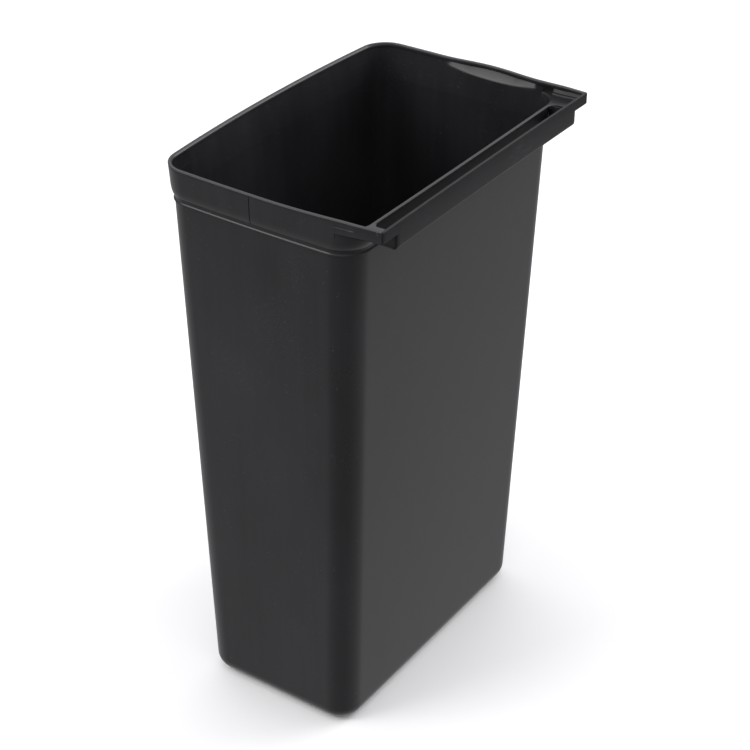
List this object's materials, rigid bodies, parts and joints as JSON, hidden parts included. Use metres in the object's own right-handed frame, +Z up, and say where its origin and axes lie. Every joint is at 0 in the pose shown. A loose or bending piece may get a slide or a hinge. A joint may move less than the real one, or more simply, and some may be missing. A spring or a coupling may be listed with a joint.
{
  "type": "refuse bin",
  "caption": "Tall tapered black plastic refuse bin with a collar, a finger grip in one short side, and a hook rail along one long side for hanging on a utility cart.",
  "frame": {"origin": "middle of the flat underside that the bin stands on, centred between the sides of the tub (the hook rail makes the whole box reach further to +X)", "axes": "+Z up out of the mouth, +X across the bin towards the hook rail, +Y along the bin towards the short side with the finger grip"},
  "size_m": [0.2396, 0.3479, 0.5618],
  "materials": {
    "black_plastic": "satin moulded, fine even grain"
  },
  "bodies": {
    "root": {"floor_plate": "black_plastic", "base_edge": "black_plastic", "tub_wall": "black_plastic", "collar_bead": "black_plastic", "collar_neck": "black_plastic", "collar_band": "black_plastic", "parting_ridge": "black_plastic", "rim_band": "black_plastic", "finger_grip": "black_plastic", "rim_lip": "black_plastic", "hook_wall": "black_plastic", "hook_arm_near": "black_plastic", "hook_arm_far": "black_plastic", "corner_web_near": "black_plastic", "corner_web_far": "black_plastic", "end_rib_near": "black_plastic", "end_rib_far": "black_plastic", "arm_ledge_near": "black_plastic", "arm_ledge_far": "black_plastic", "hook_strip": "black_plastic", "hook_face": "black_plastic", "channel_floor": "black_plastic"}
  },
  "joints": []
}
